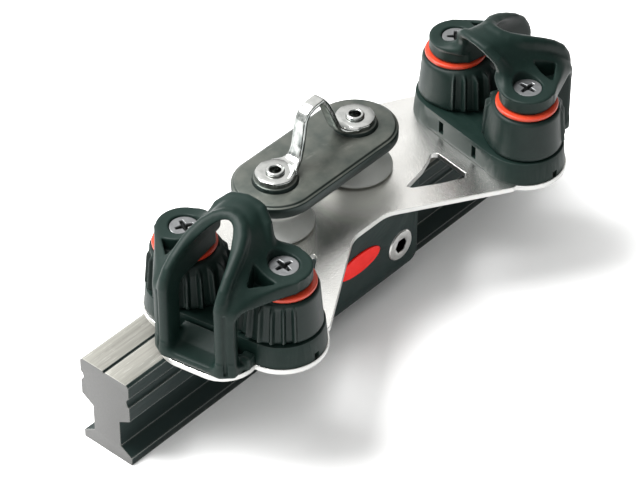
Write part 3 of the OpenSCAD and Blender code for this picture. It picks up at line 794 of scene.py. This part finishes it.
# [outboard, across, up from the plate] in mm: the lip's middle line from foot to crown, and the
# crown's inboard rim. LEAN is the side view [outboard, up] that the moulding stays within.
LIP_PATH = [[25.1, 10.6, 1.5], [25.1, 10.6, 24.5], [25.0, 10.6, 27.4], [24.1, 10.6, 30.0],
            [22.3, 10.4, 32.9], [18.9, 10.0, 35.7], [14.8, 9.5, 38.1], [10.2, 8.7, 40.3],
            [6.1, 7.3, 42.0], [2.8, 5.1, 43.2], [1.0, 2.7, 43.9], [0.4, 0, 44.2]]
EDGE_PATH = [[-2.4, 11.6, 30.5], [-3.4, 11.2, 36.0], [-5.8, 9.4, 40.8], [-7.8, 5.8, 44.0],
             [-8.7, 0, 45.1]]
LEAN = [[-12, -2], [26.9, -2], [26.9, 25.0], [26.6, 28.0], [25.7, 31.0], [23.6, 34.1],
        [20.0, 37.3], [15.6, 40.2], [10.8, 42.0], [6.6, 43.5], [2.9, 44.7], [0.2, 45.6],
        [-4, 46.7], [-14, 47.6]]
LIP_R, EDGE_R, GROOVE_R = 2.2, 1.6, 0.7
BOSS_LOW, BOSS_TOP, BOSS_R, HEAD_SINK_R, SCREW_BORE_R = 26.6, 32.2, 9.8, 5.15, 2.6


def joined(a, b, fillet):
    """The union of two fields: the lesser, with a parabola `fillet` mm wide where they cross."""
    h = np.clip(0.5 + 0.5 * (b - a) / fillet, 0, 1)
    return b + (a - b) * h - fillet * h * (1 - h)


def common(a, b, fillet):
    """What two fields share: the union of their outsides, turned over."""
    return -joined(-a, -b, fillet)


def outline_field(corners, x, y):
    """Distance from a closed outline of straight edges, negative inside: the nearest edge
    gives the distance, and the number of edges crossed on the way out gives the side."""
    nearest, inside = np.full(np.broadcast_shapes(x.shape, y.shape), 1e9), False
    for (ax, ay), (bx, by) in zip(corners, corners[1:] + corners[:1]):
        ex, ey = bx - ax, by - ay
        t = np.clip(((x - ax) * ex + (y - ay) * ey) / (ex * ex + ey * ey), 0, 1)
        nearest = np.minimum(nearest, (x - ax - ex * t) ** 2 + (y - ay - ey * t) ** 2)
        inside = inside ^ (((ay > y) != (by > y)) & (x < ex * (y - ay) / (ey or 1e-9) + ax))
    return np.where(inside, -1, 1) * np.sqrt(nearest)


def arch_field(v, h, half, top, spring=33.0):
    """Distance from an arch: upright sides up to `spring`, then half an ellipse. The
    ellipse's implicit value over the length of its gradient stands for the distance."""
    rise = np.maximum(h - spring, 0)
    q = np.sqrt((v / half) ** 2 + (rise / (top - spring)) ** 2) + 1e-6
    return q * (q - 1) / np.sqrt((v / half ** 2) ** 2 + (rise / (top - spring) ** 2) ** 2 + 1e-12)


def rod_field(path, radius, u, v, h):
    """Distance from a round rod along a path of straight pieces, the same on both sides of
    the rope: the nearest piece's distance less the radius."""
    nearest = np.float64(1e9)
    for a, b in zip(np.array(path[:-1]), np.array(path[1:])):
        e = b - a
        t = np.clip(((u - a[0]) * e[0] + (v - a[1]) * e[1] + (h - a[2]) * e[2]) / (e @ e), 0, 1)
        nearest = np.minimum(nearest, (u - a[0] - e[0] * t) ** 2 + (v - a[1] - e[1] * t) ** 2
                             + (h - a[2] - e[2] * t) ** 2)
    return np.sqrt(nearest) - radius


def fairlead_field(u, v, h, pitch):
    """The moulding as a field over [outboard, across, up], alike on both sides of the rope.
    Bosses, wings and hood are joined to the legs, held within the leaning side view, given
    the lip, and then opened for the rope. The foot's ramp, the pads on the base, the groove
    in each leg, the screws' holes and the two pockets follow."""
    v = np.abs(v)
    boss = np.hypot(u, v - pitch) - BOSS_R
    wing = outline_field([[-3, 6], [24.2, 6], [26.6, 10.5], [26.6, 12.8], [24.0, 16.0],
                          [5.0, 27.4], [0, 20], [-3.2, 13.6], [-3.4, 10.2]], u, v)
    slab = np.maximum(h - BOSS_TOP, BOSS_LOW - h)
    wings = common(joined(boss, wing, 2.0), slab, 0.9)
    side = outline_field([[-3.4, 24], [-3.7, 31], [-5.2, 36.5], [-7.5, 41.5], [-9.6, 45.6],
                          [-10.2, 50], [26, 50], [26, 24]], u, h)
    hood = common(arch_field(v, h, 13.6, 47.0, 25.0), side, 1.6)
    top = joined(wings, hood, 9.0)
    top = joined(top, rod_field(EDGE_PATH, EDGE_R, u, v, h), 1.6)
    top = common(top, BOSS_LOW - h, 1.0)
    leg = outline_field([[18.7, 6], [25.2, 6], [27.0, 10.6], [27.0, 12.0], [24.5, 15.4],
                         [23.2, 15.2], [20.2, 13.8], [18.7, 13.0]], u, v)
    legs = common(leg, np.maximum(h - 31.5, -h), 0.8)
    body = common(joined(top, legs, 5.0), outline_field(LEAN, u, h), 2.6)
    shoulder = 0.55 * (u - 25.4) + 0.45 * (v - 13.2) + 0.7 * (h - 28.2)
    body = common(body, shoulder, 3.0)
    lip = np.maximum(rod_field(LIP_PATH, LIP_R, u, v, h), -h)
    body = joined(body, lip, 1.2)
    tunnel = arch_field(v, h, 8.6, 44.1)
    body = common(body, -tunnel, 1.3)
    foot = outline_field([[0, -5.4], [15.7, -5.4], [15.7, 5.4], [0, 5.4]], u, v) - 11.4
    foot = common(common(foot, 15.45 - u, 0.3), np.maximum(h - 2.4, -h), 1.0)
    ramp = outline_field([[15.45, 0.2], [26.2, 0.2], [25.6, 1.8], [21.0, 3.4], [15.45, 7.2]], u, h)
    foot = joined(foot, np.maximum(ramp, v - 9.6), 1.6)
    block = np.maximum(np.maximum(15.6 - u, u - 19.2), np.maximum(13.6 - v, v - 17.4))
    block = np.maximum(block, h - 5.0)
    body = joined(joined(body, foot, 3.0), common(block, -h, 0.4), 0.8)
    reach = outline_field([[-3.4, -2], [27.3, -2], [27.3, 11.6], [24.3, 16.2], [5.05, 27.5],
                           [0, 22], [-3.2, 13.6], [-3.4, 10.2]], u, v)
    reach = np.minimum(joined(reach, boss, 1.0), (31.0 - h) * 0.8)
    body = np.maximum(common(body, np.where(h < 6, -9.0, reach), 1.2), np.maximum(-h, h - 48.9))
    groove = np.hypot(u - 26.2, v - 12.9) - GROOVE_R
    groove = np.maximum(groove, np.maximum(h - 26.5, 1.4 - h))
    body = common(body, -groove, 0.2)
    bore = np.hypot(u, v - pitch)
    sink = np.maximum((bore - SCREW_BORE_R - (h - 28.7) * 0.96) * 0.72, h - 31.35)
    recess = common(bore - HEAD_SINK_R, 31.25 - h, 0.1)
    holes = np.minimum(np.minimum(bore - SCREW_BORE_R, sink), recess)
    body = common(body, -np.maximum(holes, 20 - h), 0.35)
    pocket = outline_field([[8.4, 13.3], [15.4, 15.5], [9.4, 20.9]], u, v) - 0.45
    return common(body, -np.maximum(pocket, 27.5 - h), 0.5)


def skin_of_field(field, low, step):
    """Faces over the surface where the field changes sign. Every cell that the surface
    crosses gets one point, the mean of the crossings on its twelve edges, and every grid
    edge that it crosses gets one face between the four cells round it."""
    inside = field < 0
    corners = np.array([[i, j, k] for i in (0, 1) for j in (0, 1) for k in (0, 1)])
    n = np.array(field.shape) - 1
    count = sum(inside[i:n[0] + i, j:n[1] + j, k:n[2] + k].astype(np.int8) for i, j, k in corners)
    cells = np.argwhere((count > 0) & (count < 8))
    total, hits = np.zeros((len(cells), 3)), np.zeros((len(cells), 1))
    for a in corners:
        for axis in np.flatnonzero(a == 0):
            b = a + np.eye(3, dtype=int)[axis]
            fa, fb = field[tuple((cells + a).T)], field[tuple((cells + b).T)]
            crossed = (fa < 0) != (fb < 0)
            t = np.where(crossed, fa / np.where(crossed, fa - fb, 1), 0)
            total += crossed[:, None] * (a + t[:, None] * (b - a))
            hits += crossed[:, None]
    points = low + (cells + total / hits) * step
    number = np.full(n, -1)
    number[tuple(cells.T)] = np.arange(len(cells))
    faces = []
    for axis in range(3):
        p, q = [x for x in range(3) if x != axis]
        ahead = np.diff(inside.astype(np.int8), axis=axis)
        at = np.argwhere(ahead != 0)
        at = at[(at[:, p] > 0) & (at[:, q] > 0) & (at[:, p] < n[p]) & (at[:, q] < n[q])]
        sign = ahead[tuple(at.T)] * (1 if axis != 1 else -1)
        back_p, back_q = np.eye(3, dtype=int)[p], np.eye(3, dtype=int)[q]
        steps = (0 * back_p, back_p, back_p + back_q, back_q)
        ring = np.stack([number[tuple((at - d).T)] for d in steps], 1)
        faces.append(np.where(sign[:, None] > 0, ring, ring[:, ::-1]))
    return points, np.concatenate(faces)


fairlead_moulding = moulding_finish("fairlead_moulded_nylon", (0.0018, 0.0085, 0.0066),
                                    (0.0080, 0.0180, 0.0150), 0.36)
CAM_PITCH = cleat_frame("right")[3]
field_low, field_high = np.array([-11.2, -30.4, -1.0]), np.array([28.8, 30.4, 50.2])
field_size = np.ceil((field_high - field_low) / FIELD_STEP).astype(int)
field_u, field_v, field_h = np.ogrid[tuple(slice(0, n) for n in field_size)]
moulding = fairlead_field(field_low[0] + field_u * FIELD_STEP,
                          field_low[1] + field_v * FIELD_STEP,
                          field_low[2] + field_h * FIELD_STEP, CAM_PITCH)
fairlead_skin, fairlead_faces = skin_of_field(moulding, field_low, FIELD_STEP)
for side in SIDES:
    made_mesh("fairlead_hood_" + side, in_cleat(side, fairlead_skin), fairlead_faces,
              fairlead_moulding, "car", ["fairlead_" + side])

# ---- the cleats' screws and nuts ----------------------------------------------------------
# Countersunk 5 mm stainless machine screws with a cross recess, through fairlead, post, base
# and plate, each drawn up by a hexagon nut under the plate.

HEAD_TOP, HEAD_R, SHANK_R, SHANK_END = 31.7, 5.0, 2.5, -7.0
BAR_HALF_WIDTH, BAR_REACH = 0.95, 3.05


def screw_points(side, bank, turn):
    """A section carried round the screw's axis, from the middle of the head's top out to the
    rim, down the cone and the shank. Over the head the height drops into a cross: two bars
    that widen and deepen toward the middle."""
    angle = np.linspace(0, 2 * math.pi, 256, endpoint=False)
    across = np.concatenate([[0], np.linspace(0.12, 3.4, 34),
                             [3.8, 4.3, 4.6, 4.78, 4.92, HEAD_R, HEAD_R, 4.9]])
    top = np.concatenate([np.zeros(38), [-0.02, -0.07, -0.18, -0.34, -0.5]])
    x, y = across[:, None] * np.cos(angle), across[:, None] * np.sin(angle)
    bar = [np.maximum(np.abs(a) - BAR_HALF_WIDTH + 0.14 * np.abs(b), np.abs(b) - BAR_REACH)
           for a, b in ((x, y), (y, x))]
    inside = 1 - ease(np.minimum(*bar), -0.22, 0.1)
    deep = inside * (1.1 + 1.5 * (1 - ease(across[:, None], 0.2, 3.1)))
    lip = 0.05 * ease(np.minimum(*bar), 0.1, 0.35) * (1 - ease(np.minimum(*bar), 0.35, 0.9))
    height = HEAD_TOP + top[:, None] - deep + lip
    rest_r = np.array([SHANK_R + 0.05, SHANK_R, SHANK_R, SHANK_R - 0.3, 0])
    rest_h = np.array([HEAD_TOP - 2.85, HEAD_TOP - 3.2, SHANK_END + 0.4, SHANK_END, SHANK_END])
    radius = np.concatenate([across, rest_r])[:, None] + 0 * angle
    height = np.concatenate([height, rest_h[:, None] + 0 * angle])
    way = -1 if bank == "near" else 1
    points = np.stack([radius * np.cos(angle + turn),
                       radius * np.sin(angle + turn) + way * CAM_PITCH, height], -1)
    return in_cleat(side, points.reshape(-1, 3)), quads(radius.shape[0], len(angle))


def screw_finish():
    f = Finish("cleat_screw_steel")
    lathe = f.grain(0.3, 3, 0.6)
    clouds = f.grain(1.8, 3)
    bright = f.rim(0.25, 5)
    head_z = PLATE_TOP + HEAD_TOP * MM
    # Painted shade: below the head's top the cross recess is painted near black for the shade
    # inside it, and made rougher.
    painted_recess_shade = 1 - f.along("Z").above(head_z - 0.75 * MM, head_z - 0.25 * MM)
    colour = f.tint(clouds, (0.15, 0.155, 0.16), (0.27, 0.275, 0.28))
    colour = f.tint(bright * 0.45, colour, (0.62, 0.62, 0.62))
    colour = f.tint(painted_recess_shade * 0.93, colour, (0.012, 0.014, 0.014))
    return f.done(colour, 0.24 + lathe * 0.2 + painted_recess_shade * 0.3, 0.85, height=lathe, depth=0.02)


screw_steel = screw_finish()
for side, turns in (("left", (0.35, 0.62)), ("right", (0.15, 0.9))):
    skins, rows, start = [], [], 0
    for bank, turn in zip(BANKS, turns):
        points, faces = screw_points(side, bank, turn)
        skins.append(points)
        rows.append(faces + start)
        start += len(points)
    made_mesh("cleat_screw_pair_" + side, np.concatenate(skins), np.concatenate(rows),
              screw_steel, "car", ["cleat_screws_" + side], sharp=60)
    recut("cleat_nuts_" + side, button_head, "car", 0.25)

# ---- floor, lights and camera --------------------------------------------------------------
# A white table, a large soft light high over the far left, a weak one low at the near left,
# and a room that is pale on the far left and dark on the near right.


def floor_finish():
    f = Finish("floor_paper")
    clouds = f.grain(90, 2)
    return f.done(f.tint(clouds, (0.93, 0.93, 0.93), (0.95, 0.95, 0.95)), 0.9)


FLOOR_HALF = 3.0
floor_mesh = bpy.data.meshes.new("floor")
floor_corners = [(FLOOR_HALF * x, FLOOR_HALF * y, 0)
                 for x, y in ((-1, -1), (1, -1), (1, 1), (-1, 1))]
floor_mesh.from_pydata(floor_corners, [], [(0, 1, 2, 3)])
floor_mesh.materials.append(floor_finish())
floor = bpy.data.objects.new("floor", floor_mesh)
bpy.context.scene.collection.objects.link(floor)


def soft_light(name, place, target, size, power):
    """A square area light at `place`, turned to face `target`."""
    light = bpy.data.lights.new(name, "AREA")
    light.energy, light.size = power, size
    lamp = bpy.data.objects.new(name, light)
    lamp.location = place
    lamp.rotation_euler = (Vector(place) - Vector(target)).to_track_quat("Z", "Y").to_euler()
    bpy.context.scene.collection.objects.link(lamp)


soft_light("key_light", (-0.42, 0.6, 1.15), (0, 0, 0.05), 0.9, 44)
soft_light("left_light", (-1.1, -0.5, 0.5), (0, 0, 0.05), 0.5, 1.5)
bpy.context.scene.view_settings.view_transform = "Standard"

world = bpy.data.worlds.new("pale_room")
bpy.context.scene.world = world
world.use_nodes = True
BRIGHT_WAY = Vector((-0.45, 0.6, 0.66)).normalized()
ROOM_DARK, ROOM_PALE, ROOM_STRENGTH = (0.05, 0.055, 0.053), (1.0, 1.0, 0.99), 1.35


class RoomLight(Finish):
    """The node helpers above, on a world's own tree."""

    def __init__(self, world):
        self.tree = world.node_tree
        self.tree.nodes.clear()


room = RoomLight(world)
way = room.node("ShaderNodeTexCoord", out="Generated")
toward = room.node("ShaderNodeVectorMath", {"operation": "DOT_PRODUCT"},
                   {0: way, 1: BRIGHT_WAY}, out="Value")
walls = room.tint(toward.above(-0.3, 0.65), ROOM_DARK, ROOM_PALE)
glow = room.node("ShaderNodeBackground", sockets={"Color": walls, "Strength": ROOM_STRENGTH})
room.node("ShaderNodeOutputWorld", sockets={"Surface": glow})

# The camera looks down its `back` line from DISTANCE mm away, at a point AIM_HEIGHT mm over
# the origin and a little aside in the camera's own plane. FOCAL_SHARE is the focal length over
# the sensor's width.
YAW, PITCH, ROLL = math.radians(-48.49), math.radians(40.17), math.radians(-0.04)
DISTANCE, SHIFT_RIGHT, SHIFT_UP, AIM_HEIGHT = 1043.11, 1.48, -6.86, 35.0
SENSOR, FOCAL_SHARE = 36.0, 4.681703125
back = Vector((math.sin(YAW) * math.cos(PITCH), -math.cos(YAW) * math.cos(PITCH), math.sin(PITCH)))
level = Vector((math.cos(YAW), math.sin(YAW), 0))
upright = back.cross(level)
across = level * math.cos(ROLL) + upright * math.sin(ROLL)
over = upright * math.cos(ROLL) - level * math.sin(ROLL)
lens = bpy.data.cameras.new("camera")
lens.sensor_width, lens.lens, lens.clip_end = SENSOR, SENSOR * FOCAL_SHARE, 20
camera = bpy.data.objects.new("camera", lens)
bpy.context.scene.collection.objects.link(camera)
stand = Matrix((across, over, back)).transposed().to_4x4()
stand.translation = (back * DISTANCE + across * SHIFT_RIGHT + over * SHIFT_UP
                     + Vector((0, 0, AIM_HEIGHT))) * MM
camera.matrix_world = stand
bpy.context.scene.camera = camera
